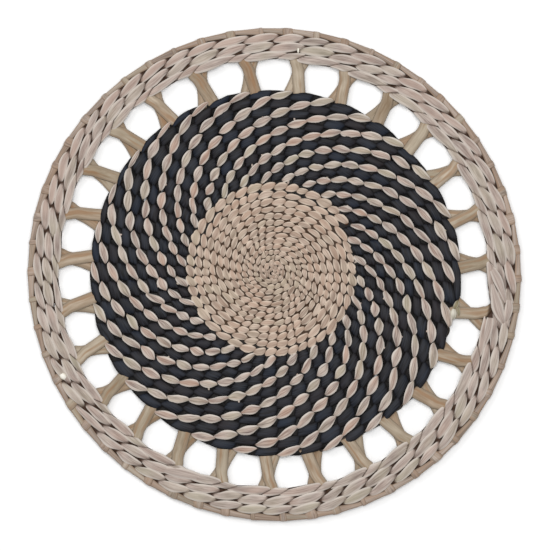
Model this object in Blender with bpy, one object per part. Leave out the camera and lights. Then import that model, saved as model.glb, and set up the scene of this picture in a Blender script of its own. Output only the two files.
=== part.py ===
"""A round table mat, twined by hand from dried plant strands.

Flat warp strips run out from the middle like spokes. A pair of strands is twined round them in
one coil: first both natural, then one natural and one black, which gives a dark swirl band.
Past the band the warps stand bare in an open ring, crossed in pairs. Three more rows make the
rim, and the ends of the warps are folded over along the edge.

Metres, +Z up. The mat lies on z = 0 with its middle at the origin.
"""

import math
import random

import bmesh
import bpy
from mathutils import Vector

# The whole mat
MAT_RADIUS = 0.190
OUT_OF_ROUND = 0.0057  # how much longer the long radius is, as a share of the mean one
LONG_WAY = math.radians(137)
GAP = 0.0003  # between neighbouring pieces

# Its coil, wound outward and clockwise as seen from above
HEART_X = -0.0010  # where the coil's middle lies
HEART_Y = 0.0028
HEART_STEP = 0.0036  # the first row's width
HEART_GROWTH = 0.038  # how fast the rows widen from turn to turn
TURN_STEPS = 54  # points a turn
RIDGE = (0.3, 0.7)  # where a row's ridge has points, as a share of its width
HEART_HEIGHT = 0.0062
HEART_GROOVE = 0.0046
BAND_START = 0.0630
BAND_ANGLE = math.radians(28)  # where the black strand comes in
BAND_STEPS = 545  # points along it: ten turns and a tenth
BAND_ROW = 0.00745  # the mean width of its rows
BAND_OUTER = 0.1414  # mean radius of the open ring's inner side
ROW_HEIGHT = 0.0070
ROW_GROOVE = 0.0050
WALL_HEIGHT = 0.0046

# Three rows of rim, and the warps folded over along its edge
RIM_INNER = 0.1632
RIM_ROWS = 3
RIM_OUTER = 0.1836
RIM_SCALLOP = 0.0006  # how far the first row reaches in at each spoke
RIM_STEPS_PER_SPOKE = 4
FOLD_STEPS = 3  # points for each folded warp
FOLD_BUMP = 0.0008
FOLD_HEIGHT = 0.0060
# Its cross-section, as shares of its width and height, from the rim outward over the top
FOLD_OUTLINE = ((0, 0), (0, 0.6), (0.35, 1), (0.7, 1), (1, 0.6), (1, 0.2), (0.85, 0))

# The bare warps of the open ring, two to a spoke
SPOKES = 27
FIRST_SPOKE = math.radians(15.97)
WIDE_SPOKE = 25  # the one whose under strip comes from beside the band's end
STRIP_WIDTH = 0.0094
STRIP_SHIFT = 0.0005  # how far a strip may stray, and its width differ
STRIP_THICKNESS = 0.0017
UNDER_Z = 0.00205  # mid-height of the strip that passes under
OVER_Z = UNDER_Z + STRIP_THICKNESS + GAP

# Slow waves in the spokes' places: waves in a round, size in degrees, place of a crest in degrees
SPOKE_SWAY = (
    {"waves": 1, "size": 1.18, "crest": 105},
    {"waves": 3, "size": 0.39, "crest": 14},
    {"waves": 4, "size": 0.33, "crest": 25},
)

# Slow waves in the width of the band's rows: the same columns, with the size in millimetres
ROW_SWELL = (
    {"waves": 1, "size": 0.24, "crest": 258},
    {"waves": 2, "size": 0.16, "crest": 134},
)

# How a pair of strips crosses: the share of the way out, then each strip's place beside the
# spoke's own line in millimetres, counted anticlockwise. The wide spoke's under strip is apart.
CROSSING = (
    {"out": 0.00, "over": -3.4, "under": 3.4, "wide": 7.0},
    {"out": 0.20, "over": -2.6, "under": 2.7, "wide": 4.8},
    {"out": 0.42, "over": -1.4, "under": 1.5, "wide": 2.0},
    {"out": 0.62, "over": -0.4, "under": 0.5, "wide": -0.9},
    {"out": 0.82, "over": 0.9, "under": -0.9, "wide": -4.0},
    {"out": 1.00, "over": 1.9, "under": -2.1, "wide": -6.9},
)

# Where the coil's steps fall: a whole number of them lead from the middle to the band
HEART_TURNS = math.log1p(BAND_START * HEART_GROWTH / HEART_STEP) / HEART_GROWTH
FIRST_BAND_STEP = int(HEART_TURNS * TURN_STEPS)
START_TURN = HEART_TURNS - FIRST_BAND_STEP / TURN_STEPS


def clear_scene():
    for item in list(bpy.data.objects):
        bpy.data.objects.remove(item, do_unlink=True)


def finish_of(name, colour, roughness):
    """A plain material of one colour."""
    material = bpy.data.materials.new(name)
    material.use_nodes = True
    shader = material.node_tree.nodes["Principled BSDF"]
    shader.inputs["Base Color"].default_value = (*colour, 1)
    shader.inputs["Roughness"].default_value = roughness
    return material


def add_piece(name, bm, material):
    """Makes a named object of a finished mesh, shaded smooth but for its sharp corners."""
    bmesh.ops.recalc_face_normals(bm, faces=bm.faces)
    mesh = bpy.data.meshes.new(name)
    bm.to_mesh(mesh)
    bm.free()
    mesh.materials.append(material)
    mesh.shade_smooth()
    mesh.set_sharp_from_angle(angle=math.radians(50))
    piece = bpy.data.objects.new(name, mesh)
    bpy.context.scene.collection.objects.link(piece)
    return piece


def waves(table, angle):
    """The sum of a table's slow waves at an angle."""
    return sum(row["size"] * math.cos(row["waves"] * (angle - math.radians(row["crest"]))) for row in table)


def plan(radius, angle, height):
    """The real place of a point of the mat: a little oval, with the coil's middle off centre."""
    stretched = radius * (1 + OUT_OF_ROUND * math.cos(2 * (angle - LONG_WAY)))
    inward = 1 - (radius / MAT_RADIUS) ** 2
    x = stretched * math.cos(angle) + HEART_X * inward
    y = stretched * math.sin(angle) + HEART_Y * inward
    return Vector((x, y, height))


def turn_at(step):
    """How many turns the coil has made at a step."""
    return START_TURN + step / TURN_STEPS


def coil_angle(turn):
    """Which way the coil points, anticlockwise from +X."""
    return BAND_ANGLE - 2 * math.pi * (turn - HEART_TURNS)


def coil_edge(turn):
    """The radius of the line between two rows, counted in turns from the coil's middle."""
    if turn <= HEART_TURNS:
        return HEART_STEP / HEART_GROWTH * math.expm1(HEART_GROWTH * turn)
    row = BAND_ROW + 0.001 * waves(ROW_SWELL, coil_angle(turn))
    return BAND_START + row * (turn - HEART_TURNS)


def coil_piece(name, first_step, steps, groove, height, material):
    """A stretch of the coil, with a ridge along each row, an upright wall and a flat underside.

    The rows on both sides of a line between rows share its points, and they lie one turn apart,
    so the same line comes back TURN_STEPS later. The first stretch starts from the middle point,
    and the two stretches stand half a gap back from each other, also where one follows the other.
    """
    bm = bmesh.new()
    from_middle = first_step == 0
    join = steps if from_middle else 0
    back = GAP / 2 if from_middle else -GAP / 2

    def add_point(step, radius, point_height, at_join):
        angle = coil_angle(turn_at(first_step + step)) + (back / radius if at_join else 0)
        return bm.verts.new(plan(radius, angle, point_height))

    lines = []
    if from_middle:
        lines = [bm.verts.new(plan(0, 0, groove))] * (TURN_STEPS + 1)
    for step in range(len(lines), steps + TURN_STEPS + 1):
        edge = coil_edge(turn_at(first_step + step))
        at_join = step in (join, join + TURN_STEPS)
        if step >= steps:
            lines.append(add_point(step, edge - GAP / 2, WALL_HEIGHT, at_join))
        elif not from_middle and step <= TURN_STEPS:
            lines.append(add_point(step, edge + GAP / 2, WALL_HEIGHT, at_join))
        else:
            lines.append(add_point(step, edge, groove, False))
    rows = []
    for step in range(steps + 1):
        turn = turn_at(first_step + step)
        inner = 0 if from_middle and step <= TURN_STEPS else coil_edge(turn)
        outer = coil_edge(turn + 1)
        crest = [add_point(step, inner + share * (outer - inner), height, step == join) for share in RIDGE]
        rows.append([lines[step], *crest, lines[step + TURN_STEPS]])
    for near, far in zip(rows, rows[1:]):
        for a, b, c, d in zip(near, near[1:], far[1:], far):
            bm.faces.new([a, b, c] if a is d else [a, b, c, d])
    stand_on_floor(bm)
    return add_piece(name, bm, material)


def stand_on_floor(bm):
    """Drops an upright wall from the open border of a top surface and closes it underneath."""
    border = [edge for edge in bm.edges if edge.is_boundary]
    made = bmesh.ops.extrude_edge_only(bm, edges=border)["geom"]
    for item in made:
        if isinstance(item, bmesh.types.BMVert):
            item.co.z = 0
    foot = [item for item in made if isinstance(item, bmesh.types.BMEdge) and item.is_boundary]
    bmesh.ops.triangle_fill(bm, use_beauty=True, use_dissolve=False, edges=foot, normal=(0, 0, -1))


def ring_piece(name, steps_per_spoke, section_of, material):
    """A closed ring whose cross-section is worked out anew at each step round the mat."""
    bm = bmesh.new()
    loops = []
    steps = SPOKES * steps_per_spoke
    for i in range(steps):
        angle = spoke_angle(i / steps_per_spoke)
        loops.append([bm.verts.new(plan(radius, angle, height)) for radius, height in section_of(i)])
    for i, near in enumerate(loops):
        far = loops[(i + 1) % steps]
        for k in range(len(near)):
            last = (k + 1) % len(near)
            bm.faces.new([near[k], near[last], far[last], far[k]])
    return add_piece(name, bm, material)


def spoke_angle(number):
    """Where a spoke stands. Spokes are counted anticlockwise, and a half is a window's middle."""
    even = FIRST_SPOKE + 2 * math.pi * number / SPOKES
    return even + math.radians(waves(SPOKE_SWAY, even))


def rim_section(step):
    """The rim's rows, rounded on top, from its inner wall to its outer one."""
    reach = RIM_SCALLOP * math.cos(2 * math.pi * step / RIM_STEPS_PER_SPOKE)
    inner = RIM_INNER - reach
    width = (RIM_OUTER - inner) / RIM_ROWS
    points = [(inner, 0), (inner, WALL_HEIGHT)]
    for row in range(RIM_ROWS):
        start = inner + row * width
        if row:
            points.append((start, ROW_GROOVE))
        points += [(start + share * width, ROW_HEIGHT) for share in RIDGE]
    return points + [(RIM_OUTER, WALL_HEIGHT), (RIM_OUTER, 0)]


def fold_section(step):
    """The folded warps: thick where one lies over the next, thin where it goes in behind."""
    sink = FOLD_BUMP / 2 * (1 - math.cos(2 * math.pi * step / FOLD_STEPS))
    inner = RIM_OUTER + GAP
    width = MAT_RADIUS - sink - inner
    return [(inner + across * width, (FOLD_HEIGHT - sink) * up) for across, up in FOLD_OUTLINE]


def warp_strip(name, spoke, run, middle, material):
    """One bare strip, from the band's outer wall to the rim's inner one."""
    bm = bmesh.new()
    line = spoke_angle(spoke)
    stray = chance.uniform(-STRIP_SHIFT, STRIP_SHIFT)
    half = (STRIP_WIDTH + chance.uniform(-STRIP_SHIFT, STRIP_SHIFT)) / 2
    low = middle - STRIP_THICKNESS / 2
    high = middle + STRIP_THICKNESS / 2
    end = RIM_INNER - RIM_SCALLOP - GAP
    sections = []
    for row in CROSSING:
        beside = stray + 0.001 * row[run]
        corners = []
        for edge in (beside - half, beside + half):
            start = band_outside(line + edge / BAND_OUTER) + GAP
            radius = start + row["out"] * (end - start)
            corners.append((radius, line + edge / radius))
        left, right = corners
        places = ((*left, low), (*right, low), (*right, high), (*left, high))
        sections.append([bm.verts.new(plan(*place)) for place in places])
    for near, far in zip(sections, sections[1:]):
        for k in range(4):
            bm.faces.new([near[k], near[(k + 1) % 4], far[(k + 1) % 4], far[k]])
    bm.faces.new(sections[0])
    bm.faces.new(sections[-1])
    return add_piece(name, bm, material)


def band_outside(angle):
    """The radius of the band's outer wall at an angle."""
    last = turn_at(FIRST_BAND_STEP + BAND_STEPS)
    behind = (coil_angle(last) - angle) % (2 * math.pi) / (2 * math.pi)
    return coil_edge(last + behind)


chance = random.Random(7)
clear_scene()
natural = finish_of("dried_strand_natural", (0.41, 0.32, 0.26), 0.75)
swirl = finish_of("dried_strand_natural_and_black", (0.16, 0.13, 0.12), 0.7)
warp = finish_of("dried_strip_tan", (0.37, 0.29, 0.21), 0.7)
coil_piece("centre", 0, FIRST_BAND_STEP, HEART_GROOVE, HEART_HEIGHT, natural)
coil_piece("swirl_band", FIRST_BAND_STEP, BAND_STEPS, ROW_GROOVE, ROW_HEIGHT, swirl)
ring_piece("rim", RIM_STEPS_PER_SPOKE, rim_section, natural)
ring_piece("edge_fold", 2 * FOLD_STEPS, fold_section, warp)
for number in range(SPOKES):
    under_run = "wide" if number == WIDE_SPOKE else "under"
    warp_strip(f"warp_{2 * number + 1:02d}", number, "over", OVER_Z, warp)
    warp_strip(f"warp_{2 * number + 2:02d}", number, under_run, UNDER_Z, warp)
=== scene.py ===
"""The looks of a round table mat, twined by hand from dried plant strands.

The sections follow the mat as it is made: the natural centre, the swirl band in natural and
black, the bare warps, the rim, the warps' folded ends, and then the floor, light and camera.
Metres, +Z up. The mat lies on z = 0 with its middle at the origin.
"""

import math
import random

import bmesh
import bpy
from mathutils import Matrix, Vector, noise


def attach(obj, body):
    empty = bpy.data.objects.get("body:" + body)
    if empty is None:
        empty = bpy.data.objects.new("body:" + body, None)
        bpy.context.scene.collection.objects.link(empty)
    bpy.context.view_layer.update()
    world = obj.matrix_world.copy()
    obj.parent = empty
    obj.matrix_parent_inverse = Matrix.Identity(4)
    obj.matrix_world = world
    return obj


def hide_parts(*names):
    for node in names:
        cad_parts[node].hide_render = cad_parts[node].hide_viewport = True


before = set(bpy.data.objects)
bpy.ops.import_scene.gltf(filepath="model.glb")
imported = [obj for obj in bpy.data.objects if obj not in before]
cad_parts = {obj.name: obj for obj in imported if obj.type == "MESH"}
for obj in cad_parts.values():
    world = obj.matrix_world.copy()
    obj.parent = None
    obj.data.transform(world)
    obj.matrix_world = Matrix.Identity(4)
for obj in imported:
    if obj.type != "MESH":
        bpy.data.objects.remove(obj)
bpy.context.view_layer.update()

# The centre weft
# A pair of dried, natural sheaths, twined round the warps in one coil from the middle outward.
# A strand goes over one warp and under the next, so its stitches show as flat ovals, narrow
# at the crossings, that slant outward along the coil.

MAT_RADIUS = 0.190
OUT_OF_ROUND = 0.0057  # how much longer the long radius is, as a share of the mean one
LONG_WAY = math.radians(137)
HEART_X = -0.0010  # where the coil's middle lies
HEART_Y = 0.0028
HEART_STEP = 0.0036  # the first row's width
HEART_GROWTH = 0.038  # how fast the rows widen from turn to turn
BAND_START = 0.0630
BAND_ANGLE = math.radians(28)  # where the black strand comes in
BAND_ROW = 0.00745  # the mean width of the band's rows
HEART_TURNS = math.log1p(BAND_START * HEART_GROWTH / HEART_STEP) / HEART_GROWTH
HEART_MIDDLE = 0.0031  # mid-height of the weft in the centre
BAND_MIDDLE = 0.0035  # and in the band and the rim
RISE = 0.63  # how much the strands rise and fall, as a share of that height; the rest is thickness
AROUND = 14  # points round a strand
STITCH_STEPS = 12  # steps along a stitch
HALF_WIDTH = 0.0032  # of a sheath laid out straight
HALF_THICKNESS = 0.0014
CREASES = {-1: (5, 9), 0: (), 1: (2, 12)}  # the ring's points that a crease presses in, by its side

# A stitch's shape. In rows: its half width over a warp, and how far aside the strand is at a
# crossing. The share of its width left at a crossing, and how much thicker it is there. In
# stitches: how far its outer edge leads, and how much longer it stays on top. In metres: how much
# lower it lies. And how soon past a crossing the hidden side is painted in shade all over, as a
# share of its full depth.
HEART_STITCH = {
    "width": 0.505,
    "slant": 0.14,
    "waist": 0.43,
    "bunch": 0.6,
    "shear": 0.03,
    "on_top": 0.02,
    "lower": 0,
    "shade_onset": 0.5,
}
STEEP = 0.55  # the lower, the longer a strand stays up before it dives at a crossing
ROUNDNESS = 0.85  # of a strand's section: 1 is an oval, and less is boxier
GATHERING = 0.8  # how much the steps gather at the crossings, as a share of the most they can
PATCH = 0.014  # the size of the patches where sheaths of one tint lie together
PATCH_TINT = 1.6  # how much their tints differ

# How deep a point lies, and so how much painted shade it gets, is told from its distance to
# mid-height on the side that it faces, as a share of it. Below the first share it is painted in full
# shade, above the second not at all. A strand's edges count three quarters as facing up
FULLY_SHADED = 0.20
UNSHADED = 0.48
EDGE_FACING = 0.75
FULL_FACING = 0.3

# How stitches differ by chance, as a mean and a spread: in shares of the shape's own width and
# slant, in metres aside and upward, and in slope
QUIRK_SPREADS = {
    "width": (1, 0.06),
    "slant": (1, 0.28),
    "aside": (0, 0.00020),
    "lift": (0, 0.00012),
    "tilt": (0, 0.07),
}
TONE_SPREAD = 0.5
TINT_SPREAD = 0.4
SLOW_SPREAD = 0.3  # the part of a tone or tint that a stitch adds to what it shares with the last
SHARED_TONE = 0.8  # how much of that is shared
SHARED_TINT = 0.85
CREASE_SIDES = (-1, 0, 0, 1, 1)  # one of these by chance; 0 is no crease
CREASE_DEPTHS = (0.15, 0.5)  # the least and the most, as shares of the half thickness


def table_of(keys, *rows):
    """A table whose rows are dictionaries, from each row's values in the order of the keys."""
    return [dict(zip(keys.split(), row)) for row in rows]


# Slow waves in the width of the band's rows: waves in a round, size in mm, crest in degrees
ROW_SWELL = table_of("waves size crest", (1, 0.24, 258), (2, 0.16, 134))


def waves(table, angle):
    """The sum of a table's slow waves at an angle."""
    return sum(row["size"] * math.cos(row["waves"] * (angle - math.radians(row["crest"]))) for row in table)


def plan(radius, angle, height):
    """The real place of a point of the mat: a little oval, with the coil's middle off centre."""
    stretched = radius * (1 + OUT_OF_ROUND * math.cos(2 * (angle - LONG_WAY)))
    inward = 1 - (radius / MAT_RADIUS) ** 2
    x = stretched * math.cos(angle) + HEART_X * inward
    y = stretched * math.sin(angle) + HEART_Y * inward
    return Vector((x, y, height))


def coil_angle(turn):
    """Which way the coil points, anticlockwise from +X."""
    return BAND_ANGLE - math.tau * (turn - HEART_TURNS)


def coil_edge(turn):
    """The radius of the line between two rows, counted in turns from the coil's middle."""
    if turn <= HEART_TURNS:
        return HEART_STEP / HEART_GROWTH * math.expm1(HEART_GROWTH * turn)
    row = BAND_ROW + 0.001 * waves(ROW_SWELL, coil_angle(turn))
    return BAND_START + row * (turn - HEART_TURNS)


def smooth(share):
    """Eases a share from 0 to 1."""
    share = min(max(share, 0), 1)
    return share * share * (3 - 2 * share)


def gathered(count):
    """Moves a count of stitches towards its halves, so that steps gather where strands cross."""
    return count + GATHERING * math.sin(math.tau * count) / math.tau


def turns_round(count):
    """Even turns round a strand, in radians."""
    return [math.tau * k / count for k in range(count)]


def signed_power(value, power):
    """A power of a value that keeps the value's sign."""
    return math.copysign(abs(value) ** power, value)


def cross_section(ring, along, tone, tint, painted_shade):
    """A ring of points round a strand, how far along it lies, its tone, tint and painted shade."""
    return {"ring": ring, "along": along, "tone": tone, "tint": tint, "painted_shade": painted_shade}


def stitch_quirks(chance, count, unevenness=1.0, tint=0.0):
    """How each stitch differs from the others, as no two are pulled alike."""
    quirks = []
    slow_tone = slow_tint = 0.0
    for _ in range(count):
        slow_tone = SHARED_TONE * slow_tone + chance.gauss(0, SLOW_SPREAD)
        slow_tint = SHARED_TINT * slow_tint + chance.gauss(0, SLOW_SPREAD)
        quirk = {}
        for key, (mean, spread) in QUIRK_SPREADS.items():
            quirk[key] = chance.gauss(mean, spread * unevenness)
        quirk["tone"] = slow_tone + chance.gauss(0, TONE_SPREAD)
        quirk["tint"] = tint + slow_tint + chance.gauss(0, TINT_SPREAD)
        quirk["crease"] = chance.choice(CREASE_SIDES)
        quirk["depth"] = chance.uniform(*CREASE_DEPTHS)
        quirks.append(quirk)
    return quirks


def quirk_at(quirks, halves):
    """The quirks of the stitch that a strand is in, easing into the next one's at the crossings."""
    number = math.floor(halves + 0.5)
    share = halves + 0.5 - number
    here = quirks[number % len(quirks)]
    other = quirks[(number + (1 if share > 0.5 else -1)) % len(quirks)]
    mix = 0.5 * smooth(abs(share - 0.5) * 2) ** 3
    eased = {key: value * (1 - mix) + other[key] * mix for key, value in here.items()}
    return {**eased, "crease": here["crease"]}


def twined_strand(quirks, course, start_along=0.0):
    """The stations of one strand of a twined pair.

    A step of its course has the angle, the radius of the row's middle, the row's width, the
    mid-height, the phase in half turns (even on top, odd underneath), the strand's size as a share
    of its full one, the angle of one stitch and the stitch's shape. It can also say how far its
    painted shade turns black beside the black strand, from 1 for not at all to 2. Where the length
    along the strand is counted from makes its fibres differ from the others'.
    """
    stations = []
    along = start_along
    last = None
    for step in course:
        halves, row, middle = step["halves"], step["row"], step["middle"]
        quirk = quirk_at(quirks, halves)
        phase = halves - step["on_top"] * math.sin(math.pi * halves)
        over = math.cos(math.pi * phase)
        flat = over * over
        crossing = 4 * (phase - math.floor(phase + 0.5)) ** 2
        # The first two waves of a zigzag between -1 and 1
        aside = (math.sin(math.pi * phase) - math.sin(3 * math.pi * phase) / 9) * 0.9
        wide = step["size"] * row * step["width"] * quirk["width"] * (1 - (1 - step["waist"]) * crossing)
        thick = step["size"] * middle * (1 - RISE) * (1 + step["bunch"] * crossing)
        rise = RISE * middle + quirk["lift"] - step["lower"]
        height = middle + rise * signed_power(over, STEEP)
        sideways = row * step["slant"] * quirk["slant"] * aside + quirk["aside"] * flat
        ring = []
        painted_shade = []
        for k, turn in enumerate(turns_round(AROUND)):
            across = wide * math.cos(turn)
            up = thick * signed_power(math.sin(turn), ROUNDNESS)
            if k in CREASES[quirk["crease"]]:
                up *= 1 - quirk["depth"] * flat
            up += quirk["tilt"] * across * flat
            lead = step["shear"] * step["stitch"] * math.cos(turn)
            place = plan(step["radius"] + sideways + across, step["angle"] + lead, max(height + up, 0))
            ring.append(place)
            # Painted shade: more the deeper a point lies, and all over a hidden side past a crossing
            facing = min(max(math.sin(turn) / FULL_FACING + EDGE_FACING, -1), 1)
            deep = 1 - smooth(((place.z - middle) / middle * facing - FULLY_SHADED) / (UNSHADED - FULLY_SHADED))
            painted_shade.append(step.get("black_shade", 1) * max(deep, smooth(-over * facing / step["shade_onset"])))
        centre = sum(ring, Vector()) / AROUND
        along += (centre - last).length if last else 0
        last = centre
        tint = quirk["tint"] + PATCH_TINT * noise.noise(centre / PATCH)
        stations.append(cross_section(ring, along, quirk["tone"], tint, painted_shade))
    return stations


def strand_tubes(name, strands, material):
    """Makes one piece of closed tubes, each a list of stations, which are cross sections.

    Each point also keeps its place on the strand as it was before twining, laid out straight, for
    the fibres to follow, the tone and tint of its stitch, and the shade painted on it where it lies
    deep in the weave.
    """
    whole = bmesh.new()
    for stations in strands:
        bm = bmesh.new()
        straight = bm.verts.layers.float_vector.new("laid_straight")
        tone, tint, painted_shade = (bm.verts.layers.float.new(key) for key in ("tone", "tint", "painted_shade"))
        around = len(stations[0]["ring"])
        bmesh.ops.create_grid(bm, x_segments=around, y_segments=len(stations) - 1, size=1)
        bm.verts.ensure_lookup_table()
        seam = {}
        for i, station in enumerate(stations):
            row = [bm.verts[i * (around + 1) + k] for k in range(around + 1)]
            for k, turn in enumerate(turns_round(around)):
                row[k].co = station["ring"][k]
                across = HALF_WIDTH * math.cos(turn)
                row[k][straight] = (across, HALF_THICKNESS * math.sin(turn), station["along"])
                row[k][tone] = station["tone"]
                row[k][tint] = station["tint"]
                row[k][painted_shade] = station["painted_shade"][k]
            seam[row[-1]] = row[0]
        bmesh.ops.weld_verts(bm, targetmap=seam)
        ends = [edge for edge in bm.edges if edge.is_boundary]
        bmesh.ops.holes_fill(bm, edges=ends, sides=0)
        bmesh.ops.recalc_face_normals(bm, faces=bm.faces)
        part = bpy.data.meshes.new(name)
        bm.to_mesh(part)
        bm.free()
        whole.from_mesh(part)
        bpy.data.meshes.remove(part)
    mesh = bpy.data.meshes.new(name)
    whole.to_mesh(mesh)
    whole.free()
    mesh.materials.append(material)
    mesh.shade_smooth()
    piece = bpy.data.objects.new(name, mesh)
    bpy.context.scene.collection.objects.link(piece)
    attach(piece, "root")
    return piece


def linear(hex_colour):
    """A shader colour from an sRGB hex value."""
    parts = [int(hex_colour[i : i + 2], 16) / 255 for i in (1, 3, 5)]
    return (*(p / 12.92 if p <= 0.04045 else ((p + 0.055) / 1.055) ** 2.4 for p in parts), 1)


def add_node(tree, kind, inputs, **settings):
    """Adds a node and returns its outputs. Each input is a value, or another node's output."""
    node = tree.nodes.new("ShaderNode" + kind)
    for key, value in settings.items():
        setattr(node, key, value)
    for key, value in inputs.items():
        if isinstance(value, bpy.types.NodeSocket):
            tree.links.new(value, node.inputs[key])
        else:
            node.inputs[key].default_value = value
    return node.outputs


TONE_STEP = 0.14  # how much lighter a stitch is for a tone of 1, as a share from dark to light
FULL_TINT = 1.8  # the tint from which a stitch is half warm, or half cool below zero
PAINTED_SIDES = (0.45, 0.9)  # where across a sheath the painted colour of its sides begins and where it is full
# The painted shade turns to this black beside the black strand
BLACK_SHADE = "#0c0a0a"
NOISE_RANGE = (0.3, 0.7)  # where most of a noise's values lie
ROUGHNESS_SPREAD = 0.08


def sheath_finish(name, roughness=0.65, sheen=0.2, fibre_spacing=0.0007, streaks=0.15, grain=0.3, **hexes):
    """The finish of a dried sheath: fibres along it, and a tone and tint for each stitch.

    Its colours are the dark and light tone, the warm and cool tint it leans to, the colour of its
    sides, where an edge rolls over, with a painted highlight on the pale finishes and painted shade
    on the dark ones, and the shade painted deep between stitches. Streaks of the warm tint run along
    it, and the grain is how much its fibres differ, as a share of the way from dark to light.
    """
    colours = {key: linear(value) for key, value in hexes.items()}
    material = bpy.data.materials.new(name)
    material.use_nodes = True
    tree = material.node_tree
    shader = tree.nodes["Principled BSDF"]

    def shift(value, low, high, to_low, to_high, **settings):
        limits = {"From Min": low, "From Max": high, "To Min": to_low, "To Max": to_high}
        return add_node(tree, "MapRange", {"Value": value, **limits}, **settings)[0]

    def mix(factor, first, second):
        return add_node(tree, "Mix", {"Factor": factor, "A": first, "B": second}, data_type="RGBA")[2]

    straight = add_node(tree, "Attribute", {}, attribute_name="laid_straight")["Vector"]
    tone = add_node(tree, "Attribute", {}, attribute_name="tone")["Fac"]
    tint = add_node(tree, "Attribute", {}, attribute_name="tint")["Fac"]
    # Fibres run along the sheath, each some 12 mm long
    fibres = 1 / fibre_spacing
    fine = add_node(tree, "Mapping", {"Vector": straight, "Scale": (fibres, fibres, 80)})[0]
    fibre = add_node(tree, "TexNoise", {"Vector": fine, "Scale": 1, "Detail": 3, "Roughness": 0.6})[0]
    # Blotches are 4 mm across and 15 mm long
    slow = add_node(tree, "Mapping", {"Vector": straight, "Scale": (250, 250, 66)})[0]
    blotch = add_node(tree, "TexNoise", {"Vector": slow, "Scale": 1, "Detail": 2})[0]
    base = shift(blotch, *NOISE_RANGE, *NOISE_RANGE)
    light = add_node(tree, "Math", {0: tone, 1: TONE_STEP, 2: base}, operation="MULTIPLY_ADD")[0]
    fine_light = shift(fibre, *NOISE_RANGE, -grain, grain)
    light = add_node(tree, "Math", {0: light, 1: fine_light}, operation="ADD", use_clamp=True)[0]
    body = mix(light, colours["dark"], colours["light"])
    body = mix(shift(tint, 0, FULL_TINT, 0, 0.5), body, colours["warm"])
    body = mix(shift(tint, 0, -FULL_TINT, 0, 0.5), body, colours["cool"])
    # Streaks are 2 mm apart and 25 mm long
    apart = {"Scale": (500, 500, 40), "Location": (3, 5, 7)}
    long = add_node(tree, "Mapping", {"Vector": straight, **apart})[0]
    streak = add_node(tree, "TexNoise", {"Vector": long, "Scale": 1, "Detail": 1})[0]
    body = mix(shift(streak, 0.5, 0.65, 0, streaks), body, colours["warm"])
    # Its sides take the edge colour: a highlight painted on the pale finishes, shade on the dark ones
    beside = add_node(tree, "SeparateXYZ", {"Vector": straight})[0]
    beside = add_node(tree, "Math", {0: beside}, operation="ABSOLUTE")[0]
    side_paint_start, side_paint_full = (share * HALF_WIDTH for share in PAINTED_SIDES)
    body = mix(shift(beside, side_paint_start, side_paint_full, 0, 0.8), body, colours["edge"])
    # Painted shade between the stitches, and above full shade the black that it turns beside the black
    # strand
    deep = add_node(tree, "Attribute", {}, attribute_name="painted_shade")["Fac"]
    body = mix(shift(deep, 0, 1, 0, 0.96), body, colours["deep"])
    body = mix(shift(deep, 1, 2, 0, 0.97), body, linear(BLACK_SHADE))
    tree.links.new(body, shader.inputs["Base Color"])
    matt = shift(fibre, *NOISE_RANGE, roughness - ROUGHNESS_SPREAD, roughness + ROUGHNESS_SPREAD)
    tree.links.new(matt, shader.inputs["Roughness"])
    shader.inputs["Specular IOR Level"].default_value = sheen
    bump = add_node(tree, "Bump", {"Height": fibre, "Strength": 0.4, "Distance": 0.0003})[0]
    tree.links.new(bump, shader.inputs["Normal"])
    return material


# Dried sheath, undyed: matt, a greyish pink tan, paler where an edge rolls over, with a painted
# highlight on its sides, and painted in dark brown shade deep between stitches
natural_sheath = sheath_finish(
    "natural_sheath",
    dark="#7e6e67",
    light="#c3b5ab",
    warm="#b69c8e",
    cool="#ada890",
    edge="#d8cfc6",
    deep="#371f0f",
    grain=0.45,
)
# The same sheath in the centre, where it has yellowed a little more, with a painted highlight on
# its paler sides and painted brown shade deep between stitches
yellowed_sheath = sheath_finish(
    "yellowed_sheath",
    dark="#796557",
    light="#ccb8a8",
    warm="#bb9d88",
    cool="#b0a58e",
    edge="#e1d1c0",
    deep="#5a2e0c",
)

# How the warps stand where the coil passes over them
FIRST_WARPS = (0.02, 0.31, 0.64)  # the first three, in turns
LONGEST_STITCH = 0.0094
LONGEST_AT = 0.0653  # the radius where it is the longest
STITCH_GROWTH = 0.37  # the power of the radius with which the stitches grow
SHORTEST_STITCH = 0.0032
LEAST_RADIUS = 0.0004
WARP_STRAY = 0.11  # in stitches, and how much more it is in the very middle
MIDDLE_STRAY = 0.24
MIDDLE_TURNS = 9
SPLIT = 1.5  # how many stitches wide a gap between warps is when a new one is laid in
EASE = 0.3  # the share of the way to the middle of its neighbours that a warp moves in a row
CALM_TURNS = 5  # the first turns, whose stitches slant less
UNDER_KNOT = 0.0012  # how much lower the coil starts, under the knot in the very middle
BLACK_SHADE_END = 1.1  # how many stitches at its end have their painted shade turn black, beside the black strand


def heart_crossings(chance):
    """Where the coil passes over a warp, in turns from the middle.

    A new warp is laid in where two have spread too far apart, and the others make room for it
    over the next rows.
    """
    coming = list(FIRST_WARPS)
    passed = []
    while coming[0] < HEART_TURNS:
        here = coming.pop(0)
        radius = max((coil_edge(here) + coil_edge(here + 1)) / 2, LEAST_RADIUS)
        stitch = max(LONGEST_STITCH * (radius / LONGEST_AT) ** STITCH_GROWTH, SHORTEST_STITCH)
        step = stitch / (math.tau * radius)
        if coming[0] - here > SPLIT * step:
            coming.insert(0, (here + coming[0]) / 2)
        between = (passed[-1] + coming[0]) / 2 if passed else here
        passed.append(here)
        stray = WARP_STRAY + MIDDLE_STRAY * (1 - smooth(here / MIDDLE_TURNS))
        coming.append(here + 1 + EASE * (between - here) + chance.gauss(0, stray) * step)
    # The last one is where the band starts
    return [turn * HEART_TURNS / passed[-1] for turn in passed]


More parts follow.
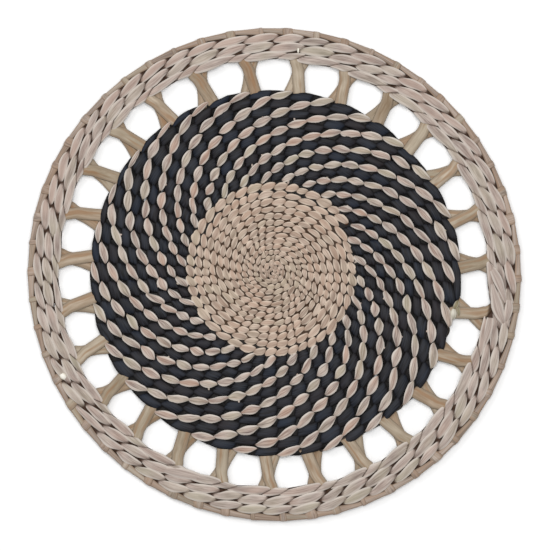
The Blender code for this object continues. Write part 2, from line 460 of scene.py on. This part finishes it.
def heart_course(crossings, turned, last):
    """One strand's steps along the centre's coil, up to a place counted back from its outer end."""
    steps = []
    whole = len(crossings) - 1
    for i in range(whole * STITCH_STEPS + 1):
        place = gathered(i / STITCH_STEPS)
        number = min(i // STITCH_STEPS, whole - 1)
        share = place - number
        turn = crossings[number] * (1 - share) + crossings[number + 1] * share
        halves = place - whole
        if halves > last:
            break
        inner = coil_edge(turn)
        outer = coil_edge(turn + 1)
        # The strand starts a quarter thinner, in the first turn
        size = 0.75 + 0.25 * smooth(turn / 0.4)
        if last < 0:
            # The end tapers off over the last third of a stitch, where it is tucked away
            size *= 1 - 0.6 * smooth((halves - last) / 0.3 + 1)
        steps.append(
            {
                **HEART_STITCH,
                "slant": HEART_STITCH["slant"] * smooth(turn / CALM_TURNS),
                "shear": HEART_STITCH["shear"] * smooth(turn / CALM_TURNS),
                "lower": UNDER_KNOT * (1 - smooth(turn - 0.6)),
                "angle": coil_angle(turn),
                "radius": max((inner + outer) / 2, LEAST_RADIUS),
                "row": outer - inner,
                "middle": HEART_MIDDLE + (BAND_MIDDLE - HEART_MIDDLE) * smooth(turn - HEART_TURNS + 1),
                "halves": turned + halves,
                "black_shade": 1 + smooth((halves - last + BLACK_SHADE_END) / 0.4),
                "size": size,
                "stitch": math.tau * (crossings[number] - crossings[number + 1]),
            }
        )
    return steps


UPWARD = Vector((0, 0, 1))
LOOP_AROUND = 8
LOOP_STEPS = 4  # from its middle to an end
LOOP_BLUNTNESS = 0.06
LOOP_DROP = 0.9  # how much lower its ends lie, as a share of its half width
LOOP_FLATNESS = 0.55  # its thickness as a share of its width


def short_loop(place, way, reach, half, tone, tint, shade_under=0):
    """The stations of a short loop or a sliver that lies on the weave, fat in its middle."""
    stations = []
    turns = turns_round(LOOP_AROUND)
    # Its underside is painted in shade, as much as asked
    painted_shade = [shade_under * smooth(0.6 - math.sin(turn)) for turn in turns]
    along = Vector((math.cos(way), math.sin(way), 0))
    for i in range(2 * LOOP_STEPS + 1):
        share = i / LOOP_STEPS - 1
        fat = max(1 - share * share, LOOP_BLUNTNESS) ** 0.6
        centre = place + along * reach * share - UPWARD * LOOP_DROP * half * share * share
        ring = []
        for turn in turns:
            beside = along.cross(UPWARD) * half * math.cos(turn)
            ring.append(centre + (beside + UPWARD * LOOP_FLATNESS * half * math.sin(turn)) * fat)
        stations.append(cross_section(ring, reach * share + way, tone, tint, painted_shade))
    return stations


chance = random.Random(11)
crossings = heart_crossings(chance)
quirks = [stitch_quirks(chance, count=397, unevenness=1.4, tint=0.3) for _ in range(2)]
strand = twined_strand(quirks[0], heart_course(crossings, turned=1, last=0))
# The knot in the very middle, where the weft begins. Its loops are painted in shade underneath
KNOT_LOOPS = 20
KNOT_REACH = 0.0075
KNOT_HEIGHT = 0.0054
GOLDEN_ANGLE = 2.4  # from one loop to the next, so that they lie evenly
knot_chance = random.Random(5)
knot = []
for number in range(KNOT_LOOPS):
    reach = KNOT_REACH * ((number + 0.3) / KNOT_LOOPS) ** 0.5
    angle = GOLDEN_ANGLE * number
    place = Vector((HEART_X + reach * math.cos(angle), HEART_Y + reach * math.sin(angle), KNOT_HEIGHT))
    way = angle + knot_chance.uniform(0.7, 2.2)
    size = knot_chance.uniform(0.75, 1.05)
    tone = knot_chance.gauss(0.3, 0.8)
    knot.append(short_loop(place, way, 0.0024 * size, 0.0013 * size, tone, tint=0.3, shade_under=1))
heart_a = strand_tubes("centre_strand_a", [strand, *knot], yellowed_sheath)
strand = twined_strand(quirks[1], heart_course(crossings, turned=0, last=-1.05), start_along=7)
heart_b = strand_tubes("centre_strand_b", [strand], yellowed_sheath)
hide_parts("centre")


# The swirl band
# The coil goes on with one natural and one black-dyed sheath. A round has 53 stitches, an odd
# number, so each colour moves on by one warp a round, and that draws the swirl.

WARP_STEP = math.radians(6.7925)  # between the band's warps
FIRST_WARP = math.radians(4.94)  # where the outermost row's first natural stitch has its crest
BAND_TURNS = 10  # whole turns that lead back to the band's start
ROUND_STITCHES = 53
FIRST_STITCH = 533  # stitches are counted back from the band's end
LAST_NATURAL = -1.3
LAST_BLACK = -2.25
BLUNT = 0.15  # the length of a strand's blunt end, in stitches

NATURAL_STITCH = {
    "width": 0.49,
    "slant": 0.38,
    "waist": 0.12,
    "bunch": 0.2,
    "shear": 0,
    "on_top": 0.045,
    "lower": 0,
    "shade_onset": 0.05,
}
BLACK_STITCH = {
    "width": 0.60,
    "slant": 0.10,
    "waist": 0.90,
    "bunch": 0.2,
    "shear": 0.12,
    "on_top": -0.03,
    "lower": 0.0004,
    "shade_onset": 1,
}
BAND_WALL = 0.1409  # mean radius of the band's outer side

# How far inside a circle the band's outer side lies, in mm, over a share of its last round.
# That round sets out close over the one before, and ends farther out
WALL_STRAY = (
    (0, 1.7),
    (0.10, -0.2),
    (0.16, 1.2),
    (0.27, 1.7),
    (0.34, 0.4),
    (0.4, 0),
    (0.92, -0.3),
    (1, -1.8),
)

# How far the band's warps stray from even steps: waves in a round, size and crest in degrees
WARP_SWAY = table_of("waves size crest", (1, 2.55, 39.5), (2, 0.57, -27.4))


def band_row_at(stitch):
    """The angle along the coil at a stitch, and the radii of its row's two sides."""
    even = FIRST_WARP + WARP_STEP * stitch
    angle = even
    # The sway depends on the angle itself, so it's found in a few rounds
    for _ in range(4):
        angle = even + math.radians(waves(WARP_SWAY, angle))
    turn = HEART_TURNS + (BAND_ANGLE + math.tau * BAND_TURNS - angle) / math.tau
    return angle, coil_edge(turn), coil_edge(turn + 1)


def band_wall(angle, last_round):
    """The radius of the band's outer side, which runs round the mat's middle, not the coil's."""
    inward = 1 - (BAND_WALL / MAT_RADIUS) ** 2
    off_centre = inward * (HEART_X * math.cos(angle) + HEART_Y * math.sin(angle))
    stray = 0
    for (start, low), (end, high) in zip(WALL_STRAY, WALL_STRAY[1:]):
        if start <= last_round <= end:
            stray = low + (high - low) * smooth((last_round - start) / (end - start))
    return BAND_WALL - off_centre - 0.001 * stray


def band_course(first, last, turned, shape):
    """One strand's steps along the band, from a stitch near its start to its blunt end."""
    steps = []
    for i in range(int((first - last) * STITCH_STEPS) + 1):
        stitch = gathered(first - i / STITCH_STEPS)
        angle, inner, outer = band_row_at(stitch)
        # The last round's outer side is the band's wall, and its first tenth eases into it
        last_round = (ROUND_STITCHES - stitch) / ROUND_STITCHES
        outer += (band_wall(angle, min(last_round, 1)) - outer) * smooth(last_round * 10)
        size = 1 - 0.5 * smooth((last + BLUNT - stitch) / BLUNT) ** 2
        halves = turned - stitch
        if turned and stitch < -1:
            # The last black stitch stays on top
            halves = 2 + 0.42 * (1 + stitch) / (1 + last)
        if first > FIRST_STITCH:
            # The black strand's start is thin, where it's tucked under the last natural one
            size *= 0.4 + 0.6 * smooth((first - stitch) / 0.4)
        steps.append(
            {
                **shape,
                "shear": shape["shear"] * smooth(stitch - last),
                "angle": angle,
                "radius": (inner + outer) / 2,
                "row": outer - inner,
                "middle": BAND_MIDDLE,
                "halves": halves,
                "size": size,
                "stitch": -WARP_STEP,
            }
        )
    return steps


# The same sheath dyed black: matt, its lighter tones bluish, its sides painted brown-black as
# shade, and near black shade painted deep between stitches
black_sheath = sheath_finish(
    "black_dyed_sheath",
    dark="#0a0a0e",
    light="#282b33",
    warm="#241c1e",
    cool="#0c1e33",
    edge="#100d0d",
    deep="#080504",
    roughness=0.6,
    sheen=0.25,
    fibre_spacing=0.0006,
    grain=1.1,
)
# The natural sheath beside it, painted in near black shade deep between its stitches, among the
# black ones, and paler at its sides, where an edge rolls over, with a painted highlight
band_natural_sheath = sheath_finish(
    "band_natural_sheath",
    dark="#786862",
    light="#bfb0a5",
    warm="#bb9680",
    cool="#aca68b",
    edge="#e2dad1",
    deep="#1c120a",
    grain=0.75,
)
course = band_course(FIRST_STITCH, LAST_NATURAL, turned=0, shape=NATURAL_STITCH)
strand = twined_strand(stitch_quirks(chance, count=601, unevenness=1.15), course, start_along=11)

# Here and there a sliver of sheath sticks out from a natural stitch's side
SLIVERS = 36
SLIVER_PLACE = 0.44  # from the row's middle, as a share of its width
SLIVER_HEIGHT = 0.0058
SLIVER_HALF_WIDTH = 0.0007
slivers = []
sliver_chance = random.Random(8)
for _ in range(SLIVERS):
    stitch = 2 * sliver_chance.randrange(10, FIRST_STITCH // 2) + sliver_chance.uniform(-0.2, 0.2)
    angle, inner, outer = band_row_at(stitch)
    side = sliver_chance.choice((-1, 1))
    radius = (inner + outer) / 2 + side * SLIVER_PLACE * (outer - inner)
    way = angle + (side - 1) * math.pi / 2 + sliver_chance.uniform(-0.7, 0.7)
    reach = sliver_chance.uniform(0.0010, 0.0018)
    place = plan(radius, angle, SLIVER_HEIGHT)
    tint = sliver_chance.gauss(-0.4, 0.8)
    slivers.append(short_loop(place, way, reach, SLIVER_HALF_WIDTH, tone=1.0, tint=tint))
band_natural = strand_tubes("band_natural_strand", [strand, *slivers], band_natural_sheath)
course = band_course(FIRST_STITCH + 1.3, LAST_BLACK, turned=1, shape=BLACK_STITCH)
strand = twined_strand(stitch_quirks(chance, count=601, unevenness=1.3), course, start_along=13)
band_black = strand_tubes("band_black_strand", [strand], black_sheath)
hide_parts("swirl_band")


# The warps
# 54 flat strips of the same plant, a little wider and left undyed. The weft hides them but for
# the open ring, where they cross in pairs: the over strip of a pair lies on the under one.

SPOKES = 27
FIRST_SPOKE = math.radians(15.97)
WIDE_SPOKE = 25  # the one whose under strip comes from beside the band's end
WARP_AROUND = 14
WARP_HALF_WIDTH = 0.0048
WARP_WIDTH_SPREAD = 0.00025
WARP_HALF_THICKNESS = 0.0009
WARP_ROUNDNESS = 0.7
WARP_CROWNS = (0.0002, 0.0006)  # the least and the most that a strip bulges in its middle
WARP_START = 0.036  # hidden in the weft, like all but the open ring
WARP_END = 0.1815
RING_OUTER = 0.1632  # mean radius of the open ring's outer side
LAST_ROUND_END = math.radians(-5)  # where the band's last round ends
MIDDLE_BUNDLES = 14
BUNDLE_OVERLAP = 1.1  # how much farther out they end than the strips begin
PAIR_LIFT = 0.00105  # from mid-height to the over strip and to the under one
PAIR_SPREAD = 0.0085  # over which a pair spreads to even steps, hidden in the weft
STRIP_STRAY = 0.0004  # the most that a strip lies aside

# Slow waves in the spokes' places: waves in a round, size and crest in degrees
SPOKE_SWAY = table_of("waves size crest", (1, 1.18, 105), (3, 0.39, 14), (4, 0.33, 25))

# How a pair crosses, in six even steps outward: each strip's place beside the spoke's own line
# in millimetres, counted anticlockwise. The wide spoke's under strip is apart.
CROSSING = table_of(
    "over under wide",
    (-2.9, 4.2, 7.0),
    (-2.1, 2.7, 4.8),
    (-1.2, 1.2, 2.0),
    (-0.4, 0.2, -0.9),
    (0.5, -0.7, -4.0),
    (2.5, -2.6, -6.9),
)


def table_at(table, place):
    """A smooth curve through a table's rows, at a place counted in rows, from mm to metres."""
    k = min(max(int(place), 0), len(table) - 2)
    t = min(max(place - k, 0), 1)
    rows = [table[min(max(k + d, 0), len(table) - 1)] for d in (-1, 0, 1, 2)]
    weights = (
        (-t + 2 * t**2 - t**3) / 2,
        (2 - 5 * t**2 + 3 * t**3) / 2,
        (t + 4 * t**2 - 3 * t**3) / 2,
        (-(t**2) + t**3) / 2,
    )
    return {key: 0.001 * sum(w * row[key] for w, row in zip(weights, rows)) for key in rows[0]}


def spoke_angle(number):
    """Where a spoke stands. Spokes are counted anticlockwise, and a half is a window's middle."""
    even = FIRST_SPOKE + math.tau * number / SPOKES
    return even + math.radians(waves(SPOKE_SWAY, even))


def warp_strip(spoke, run):
    """The stations of one strip, from inside the weft to under the rim's last row."""
    line = spoke_angle(spoke)
    side = -1 if run == "over" else 1
    lift = PAIR_LIFT if run == "over" else -PAIR_LIFT
    stray = chance.uniform(-STRIP_STRAY, STRIP_STRAY)
    half = WARP_HALF_WIDTH + chance.uniform(-WARP_WIDTH_SPREAD, WARP_WIDTH_SPREAD)
    start = band_wall(line, (LAST_ROUND_END - line) % math.tau / math.tau)
    tone = chance.gauss(0, 1)
    tint = chance.gauss(0, 1)
    crown = chance.uniform(*WARP_CROWNS)
    radii = [WARP_START + (start - PAIR_SPREAD - WARP_START) * i / 16 for i in range(16)]
    for i in range(27):
        radii.append(start - PAIR_SPREAD + (RING_OUTER + PAIR_SPREAD - start + PAIR_SPREAD) * i / 26)
    for i in (1, 2, 3):
        radii.append(RING_OUTER + PAIR_SPREAD + (WARP_END - RING_OUTER - PAIR_SPREAD) * i / 3)
    stations = []
    for radius in radii:
        out = (radius - start) / (RING_OUTER - start)
        beside = (stray + table_at(CROSSING, 5 * out)[run]) / radius
        inside = smooth((start - radius) / PAIR_SPREAD)
        outside = smooth((radius - RING_OUTER) / PAIR_SPREAD)
        step = math.pi / 2 / SPOKES
        beside += (side * step - beside) * inside
        beside += (-side * step - beside) * outside
        bare = 1 - max(inside, outside)
        middle = BAND_MIDDLE + lift * bare
        ring = []
        for turn in turns_round(WARP_AROUND):
            across = math.cos(turn)
            up = WARP_HALF_THICKNESS * signed_power(math.sin(turn), WARP_ROUNDNESS)
            bulge = crown * (1 - across * across) * bare
            place = plan(radius, line + beside + half * across / radius, middle + up + bulge - crown / 2)
            ring.append(place)
        # Inside the weft it is painted in shade, which turns black in the band
        in_band = smooth((radius - BAND_START) / 0.002 + 3) if radius < start else 0
        painted_shade = [smooth(3 * (1 - bare) - 0.5) * (1 + in_band)] * WARP_AROUND
        stations.append(cross_section(ring, radius + 0.4 * spoke, tone, tint, painted_shade))
    return stations


def middle_bundle(angle):
    """The stations of a bundle of warps that runs right through the middle, hidden in the weft."""
    stations = []
    for i in range(11):
        distance = WARP_START * (i / 5 - 1) * BUNDLE_OVERLAP
        ring = []
        for turn in turns_round(WARP_AROUND):
            beside = WARP_HALF_WIDTH * math.cos(turn)
            reach = math.hypot(distance, beside)
            way = angle + math.atan2(beside, distance)
            ring.append(plan(reach, way, HEART_MIDDLE + WARP_HALF_THICKNESS * math.sin(turn)))
        # Painted in shade all over
        stations.append(cross_section(ring, distance, 0, 0, [1] * WARP_AROUND))
    return stations


# Dried warp sheath, undyed: olive tan with orange-brown streaks and coarser fibres. Its sides are
# painted darker as shade, and where the weft hides it, it is painted in shade, black in the band
warp_sheath = sheath_finish(
    "warp_sheath",
    dark="#806d56",
    light="#beb09d",
    warm="#8f6a48",
    cool="#9b907b",
    edge="#918270",
    deep="#3a2514",
    roughness=0.6,
    fibre_spacing=0.0009,
    streaks=0.6,
)
strips = []
for number in range(MIDDLE_BUNDLES):
    strips.append(middle_bundle(math.pi * number / MIDDLE_BUNDLES))
for spoke in range(SPOKES):
    strips.append(warp_strip(spoke, "over"))
    strips.append(warp_strip(spoke, "wide" if spoke == WIDE_SPOKE else "under"))
warps = strand_tubes("bare_warps", strips, warp_sheath)
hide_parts(*[f"warp_{number + 1:02d}" for number in range(2 * SPOKES)])


# The rim
# Three rounds twined with a natural pair. The rounds are one coil, so going clockwise each row
# steps outward at one place, beside the band's end, where the coil also begins and ends.

RIM_EDGES = (0.1650, 0.1706, 0.1780, 0.1846)  # the mean radii of the lines between its rows
RIM_STITCH = {
    "width": 0.565,
    "slant": 0.20,
    "waist": 0.56,
    "bunch": 0.7,
    "shear": 0.07,
    "on_top": 0,
    "lower": 0,
    "shade_onset": 1,
}
RIM_STITCH_STEPS = 14
SPLICE = 24.9  # the spoke number of the coil's start; the rows step outward just before it
SPLICE_WIDTH = 0.75  # in spokes
COVERED_DEPTH = 0.0021  # how much lower a row lies under the pads of the splice
COVERED = (1.05, 1.05, 0.5)  # how much of each round's end they cover, in spokes
CREST = 0.24  # where between two spokes the outer rows' first stitch has its crest
CREST_LIFT = 0.0006  # how far the stitch over a spoke reaches inward
DIP = 0.0013  # how far the first row dips inward
BEFORE_SPOKE = 0.03  # where its stitch over a spoke begins, in spokes
FIRST_BACK = 0.17  # how far back its crossings lie between two spokes
FIRST_WAIST = 0.15  # what its stitches have more than the others, and how much less slant
FIRST_SHEAR = 0.13
FIRST_CALM = 0.7
UNDER_THINNER = 0.22  # how much thinner its stitches are underneath
START_THINNER = 0.3  # and both ends of the coil, over two thirds of a stitch
END_THINNER = 0.65
RING_SWELL = 0.0008  # how much wider the open ring is on the left, by a narrower first row
CROSSING_STRAY = 0.17  # how far the outer rows' crossings stray at most, in spokes


def rim_edge(rounds):
    """The radius of the line between two rows, counted in rounds from the open ring."""
    row = min(int(rounds), 2)
    return RIM_EDGES[row] + (RIM_EDGES[row + 1] - RIM_EDGES[row]) * (rounds - row)


def rim_course(turned):
    """One strand's steps along the rim's three rounds."""
    steps = []
    count = 3 * 2 * SPOKES * RIM_STITCH_STEPS
    for i in range(count + 1):
        halves = gathered(2 * (CREST - SPLICE) + i / RIM_STITCH_STEPS)
        number = CREST - halves / 2
        round_share = min(max((SPLICE - number) / SPOKES, 0), 3)
        row_number = min(math.floor(round_share), 2)
        left = (1 - (round_share - row_number)) * SPOKES
        shift = smooth(1 - left / SPLICE_WIDTH) if row_number < 2 else 0
        first = max(1 - row_number - shift, 0)
        # The first row has its crossings beside the spokes and past a third of the windows, and
        # dips inward beside the next spoke, to go under that one's strip
        place = (number + BEFORE_SPOKE) % 1 - BEFORE_SPOKE
        number -= FIRST_BACK * math.sin(math.pi * (place + BEFORE_SPOKE)) * first
        stray = CROSSING_STRAY * (1 - 0.6 * first) * noise.noise(Vector((0.61 * halves, 0.5, 0.5)))
        angle = spoke_angle(number + stray)
        inner = rim_edge(row_number + shift)
        inner -= first * DIP * smooth((place - 0.5) / 0.35) * smooth((1 + BEFORE_SPOKE - place) / 0.1)
        swell = first * RING_SWELL * math.cos(angle)
        inner -= swell + first * CREST_LIFT * smooth(1 - abs(place - 0.13) / 0.2)
        outer = rim_edge(min(row_number + shift + 1, 3))
        # The rows lie low where the pads of the splice cover them
        low = smooth((COVERED[row_number] - left) / 0.15)
        under = smooth(-math.cos(math.pi * (turned + halves)))
        done = i / RIM_STITCH_STEPS * 1.5
        to_do = (count - i) / RIM_STITCH_STEPS * 1.5
        size = 1 - START_THINNER * smooth(1 - done) - END_THINNER * smooth(1 - to_do)
        steps.append(
            {
                **RIM_STITCH,
                "waist": RIM_STITCH["waist"] + FIRST_WAIST * first,
                "slant": RIM_STITCH["slant"] * (1 - FIRST_CALM * first),
                "shear": RIM_STITCH["shear"] + FIRST_SHEAR * first,
                "lower": COVERED_DEPTH * low,
                "angle": angle,
                "radius": (inner + outer) / 2,
                "row": outer - inner,
                "middle": BAND_MIDDLE,
                "halves": turned + halves,
                "size": size - UNDER_THINNER * first * under,
                "stitch": -math.pi / SPOKES,
            }
        )
    return steps


PAD_STEPS = 3  # between two rows of a table


def splice_place(table, row):
    """The middle of a pad at a place along it, counted in rows of its table."""
    here = table_at(table, row)
    # The spoke number isn't in mm
    return plan(here["radius"], spoke_angle(1000 * here["number"]), here["up"])


def splice_pad(table, deep):
    """The stations of a wide pad, where the coil's two ends are laid over each other."""
    stations = []
    last = (len(table) - 1) * PAD_STEPS
    for i in range(last + 1):
        here = table_at(table, i / PAD_STEPS)
        centre = splice_place(table, i / PAD_STEPS)
        way = splice_place(table, min(i + 1, last) / PAD_STEPS)
        way -= splice_place(table, max(i - 1, 0) / PAD_STEPS)
        side = Vector((way.y, -way.x, 0)).normalized()
        ring = []
        for turn in turns_round(AROUND):
            up = here["thick"] * signed_power(math.sin(turn), ROUNDNESS)
            ring.append(centre + side * here["wide"] * math.cos(turn) + Vector((0, 0, up)))
        stations.append(cross_section(ring, 0.001 * i, tone=0.6, tint=0.2, painted_shade=[deep] * AROUND))
    return stations


# The pads' ways: the spoke number, then the radius, the height, half width and half thickness in
# mm. The fourth one lies far from the others, where a new strand was laid in, the fifth one is
# the coil's blunt start, and the last one is the end underneath, painted in shade all over
SPLICE_PADS = (
    (
        (24.94, 179.4, 4.6, 1.6, 0.8),
        (25.00, 177.9, 5.8, 2.8, 1.2),
        (25.09, 175.2, 6.1, 3.9, 1.3),
        (25.23, 172.4, 6.1, 4.7, 1.3),
        (25.44, 169.3, 5.8, 2.9, 1.2),
        (25.62, 167.4, 4.8, 1.3, 0.9),
    ),
    (
        (25.30, 178.6, 4.8, 0.9, 0.9),
        (25.40, 176.9, 5.8, 1.8, 1.2),
        (25.51, 174.9, 6.1, 2.5, 1.3),
        (25.68, 171.8, 6.0, 3.7, 1.3),
        (25.84, 168.5, 5.6, 3.0, 1.2),
        (25.99, 165.4, 4.4, 1.3, 0.8),
    ),
    (
        (25.00, 181.0, 4.6, 1.6, 0.9),
        (25.10, 181.2, 5.6, 2.9, 1.2),
        (25.23, 181.5, 5.9, 3.3, 1.2),
        (25.34, 181.0, 5.4, 2.2, 1.1),
        (25.42, 180.4, 4.6, 0.9, 0.8),
    ),
    (
        (16.80, 174.4, 4.8, 1.4, 0.9),
        (16.96, 172.6, 5.8, 2.9, 1.2),
        (17.15, 170.4, 6.2, 4.2, 1.3),
        (17.38, 168.4, 6.2, 3.9, 1.3),
        (17.62, 167.0, 5.7, 2.6, 1.2),
        (17.82, 166.4, 4.6, 1.2, 0.9),
    ),
    (
        (24.99, 168.9, 4.6, 2.7, 0.9),
        (24.90, 169.2, 5.5, 3.2, 1.2),
        (24.75, 169.3, 5.8, 3.2, 1.2),
        (24.55, 169.0, 5.4, 2.8, 1.2),
        (24.38, 168.6, 4.4, 2.0, 0.9),
    ),
    (
        (24.80, 174.0, 2.6, 3.0, 0.9),
        (25.00, 172.0, 2.8, 6.0, 0.9),
        (25.25, 173.0, 2.9, 6.0, 0.9),
        (25.50, 172.5, 2.9, 4.5, 0.9),
        (25.70, 172.0, 2.8, 3.0, 0.9),
    ),
)
rim_strands = []
for turned in (0, 1):
    quirks = stitch_quirks(chance, count=211, unevenness=1.2)
    rim_strands.append(twined_strand(quirks, rim_course(turned), start_along=17 + 5 * turned))
pads = [table_of("number radius up wide thick", *rows) for rows in SPLICE_PADS]
# The last pad, underneath, is painted in shade all over
for table in pads:
    rim_strands.append(splice_pad(table, deep=1 if table is pads[-1] else 0))
rim = strand_tubes("rim_strands", rim_strands, natural_sheath)
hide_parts("rim")

# Pale bits: the band's end is tied down with a greenish one in three loops, and two more show in
# the rim. Angle in degrees, radius, height, length and half width in mm, the way each points in
# degrees from the radius, and its tone and tint
PALE_BITS = table_of(
    "angle radius up long half turned tone tint",
    (350.0, 141.6, 6.4, 4.0, 1.9, 75, -4, -3.5),
    (347.2, 141.0, 6.4, 4.6, 2.5, 100, 0.6, 0),
    (348.3, 144.2, 6.4, 4.0, 1.3, 110, -4, -3.5),
    (205.75, 180.8, 6.6, 4.2, 2.6, 111, 6, 0),
    (83.9, 172.8, 6.6, 2.2, 0.8, 5, 6, 0),
)
# Split stem: shinier than the sheath, and olive, cream or nearly white by its tone. Its sides
# are painted a mid cream: a painted highlight on olive bits and painted shade on white ones
split_sheath = sheath_finish(
    "split_sheath",
    dark="#6b6449",
    light="#f1ede2",
    warm="#cbb894",
    cool="#75694a",
    edge="#cfc8b4",
    deep="#4c2f1c",
    roughness=0.6,
    sheen=0.4,
)
bits = []
for bit in PALE_BITS:
    angle = math.radians(bit["angle"])
    place = plan(0.001 * bit["radius"], angle, 0.001 * bit["up"])
    way = angle + math.radians(bit["turned"])
    bits.append(short_loop(place, way, 0.001 * bit["long"], 0.001 * bit["half"], bit["tone"], bit["tint"]))
pale_bits = strand_tubes("pale_bits", bits, split_sheath)


# The folded ends
# Each warp comes out under the last row, goes up over the ends before it as a short band, is
# folded over at the edge to run anticlockwise along it, and is tucked under the next ones.

# The way of an end along the edge and of its band: along and outward, height, half width and
# half thickness, in mm. Along is counted from the band, outward from the rim's outer side.
END_RUN = table_of(
    "along out up wide thick",
    (-1.6, 3.2, 3.9, 2.2, 0.9),
    (1.5, 3.0, 4.5, 2.8, 1.1),
    (7.0, 3.2, 4.7, 2.3, 1.2),
    (14.0, 3.5, 4.6, 2.0, 1.2),
    (20.0, 3.8, 3.8, 1.9, 1.0),
    (26.0, 2.6, 2.1, 2.9, 0.9),
    (34.0, 2.2, 1.4, 3.1, 0.8),
    (42.0, 2.0, 1.2, 2.2, 0.6),
)
END_BAND = table_of(
    "along out up wide thick",
    (-0.4, -3.4, 3.4, 2.4, 0.6),
    (-0.2, -0.8, 4.3, 2.8, 0.6),
    (0.0, 1.2, 5.3, 3.1, 0.5),
    (0.2, 3.4, 5.5, 3.3, 0.5),
    (0.3, 5.0, 4.9, 3.2, 0.5),
    (0.4, 5.8, 3.9, 3.0, 0.5),
    (0.5, 5.3, 2.5, 2.6, 0.6),
    (0.6, 4.2, 1.7, 2.0, 0.5),
)
BAND_TILT = 0.14  # its clockwise side sinks into the run below
END_STEPS = 3  # between two rows of a table
END_AROUND = 12
RIM_OUTER = 0.1836
SHADE_HEIGHT = 0.0015  # the shade painted low on the edge ends fades out a little above it
END_STRAY = 0.004  # how far an end strays along the edge, in radians
END_TONES = 0.8  # how much the ends differ in tone and in tint
END_TINTS = 0.7


def folded_end(table, angle, width, tone, tint):
    """The stations of one end, or of its band."""
    stations = []
    last = (len(table) - 1) * END_STEPS
    for i in range(last + 1):
        here = table_at(table, i / END_STEPS)
        ahead = table_at(table, min(i + 0.5, last) / END_STEPS)
        behind = table_at(table, max(i - 0.5, 0) / END_STEPS)
        way = Vector(ahead[key] - behind[key] for key in ("along", "out", "up")).normalized()
        # Its width lies level, square to its way; its thickness is square to both
        flat = Vector((way.y, -way.x, 0)).normalized()
        if table is END_BAND:
            flat = Vector((1, 0, BAND_TILT)).normalized()
        thick = flat.cross(way)
        ring = []
        for turn in turns_round(END_AROUND):
            place = Vector((here["along"], here["out"], here["up"]))
            place += flat * width * here["wide"] * math.cos(turn) + thick * here["thick"] * math.sin(turn)
            ring.append(plan(RIM_OUTER + place.y, angle + place.x / RIM_OUTER, max(place.z, 0)))
        # Painted shade low down, near the floor
        painted_shade = [1 - smooth(here["up"] / SHADE_HEIGHT - 1.3)] * END_AROUND
        stations.append(cross_section(ring, 0.001 * i + 7 * angle, tone, tint, painted_shade))
    return stations


# The strand's colour where it is rubbed, at the mat's edge: browner and duller. Its sides are
# painted darker as shade under a lit top, and it is painted in shade low down
worn_sheath = sheath_finish(
    "worn_sheath",
    dark="#77685e",
    light="#bcada1",
    warm="#9d8068",
    cool="#9c9278",
    edge="#917c6a",
    deep="#34200f",
    streaks=0.5,
    grain=0.5,
)
runs = []
bands = []
for number in range(2 * SPOKES):
    angle = spoke_angle(number / 2 + CREST) + chance.gauss(0, END_STRAY)
    tone = chance.gauss(0, END_TONES)
    tint = chance.gauss(0, END_TINTS)
    width = chance.gauss(1, 0.04)
    runs.append(folded_end(END_RUN, angle, width, tone, tint))
    width = chance.uniform(0.5, 1.5)
    bands.append(folded_end(END_BAND, angle, width, tone, tint + chance.gauss(0, END_TINTS)))
ends = strand_tubes("folded_ends", runs, worn_sheath)
end_bands = strand_tubes("folded_end_bands", bands, worn_sheath)
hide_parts("edge_fold")


# The floor, light and camera
# A plain pale floor, one wide soft light overhead with a weaker one beside it, and a camera that
# looks straight down through a long lens.

FLOOR_SIDE = 6.0
FRAME_PIXELS = 551
PIXEL = 0.000768  # of the picture, on the mat
LENS = 200.0
SENSOR = 36.0
CAMERA_ASIDE = 0.00075  # to the right of the mat's middle, and as far below it
FOCUS_HEIGHT = 0.005  # where the picture's scale is counted

bm = bmesh.new()
bmesh.ops.create_grid(bm, x_segments=1, y_segments=1, size=FLOOR_SIDE / 2)
mesh = bpy.data.meshes.new("floor")
bm.to_mesh(mesh)
bm.free()
floor = bpy.data.objects.new("floor", mesh)
bpy.context.scene.collection.objects.link(floor)
# Matt white paper
paper = bpy.data.materials.new("white_paper")
paper.use_nodes = True
shader = paper.node_tree.nodes["Principled BSDF"]
shader.inputs["Base Color"].default_value = linear("#fdfdfd")
shader.inputs["Roughness"].default_value = 0.9
mesh.materials.append(paper)


def soft_light(name, size, energy, place):
    """A square area light that faces the mat."""
    light = bpy.data.lights.new(name, "AREA")
    light.size = size
    light.energy = energy
    lamp = bpy.data.objects.new(name, light)
    lamp.location = place
    lamp.rotation_mode = "QUATERNION"
    lamp.rotation_quaternion = (-Vector(place)).to_track_quat("-Z", "Y")
    bpy.context.scene.collection.objects.link(lamp)


soft_light("soft_light_above", size=2.0, energy=62, place=(0.15, 0.4, 2.9))
soft_light("soft_light_side", size=1.2, energy=16, place=(-1.3, 1.5, 1.9))
world = bpy.data.worlds.new("studio")
world.use_nodes = True
background = world.node_tree.nodes["Background"]
background.inputs["Color"].default_value = (1, 1, 1, 1)
background.inputs["Strength"].default_value = 0.35
bpy.context.scene.world = world
bpy.context.scene.view_settings.view_transform = "Standard"

camera = bpy.data.cameras.new("camera")
camera.lens = LENS
camera.sensor_width = SENSOR
camera.clip_end = 20
eye = bpy.data.objects.new("camera", camera)
eye.location = (CAMERA_ASIDE, -CAMERA_ASIDE, FOCUS_HEIGHT + FRAME_PIXELS * PIXEL * LENS / SENSOR)
bpy.context.scene.collection.objects.link(eye)
bpy.context.scene.camera = eye
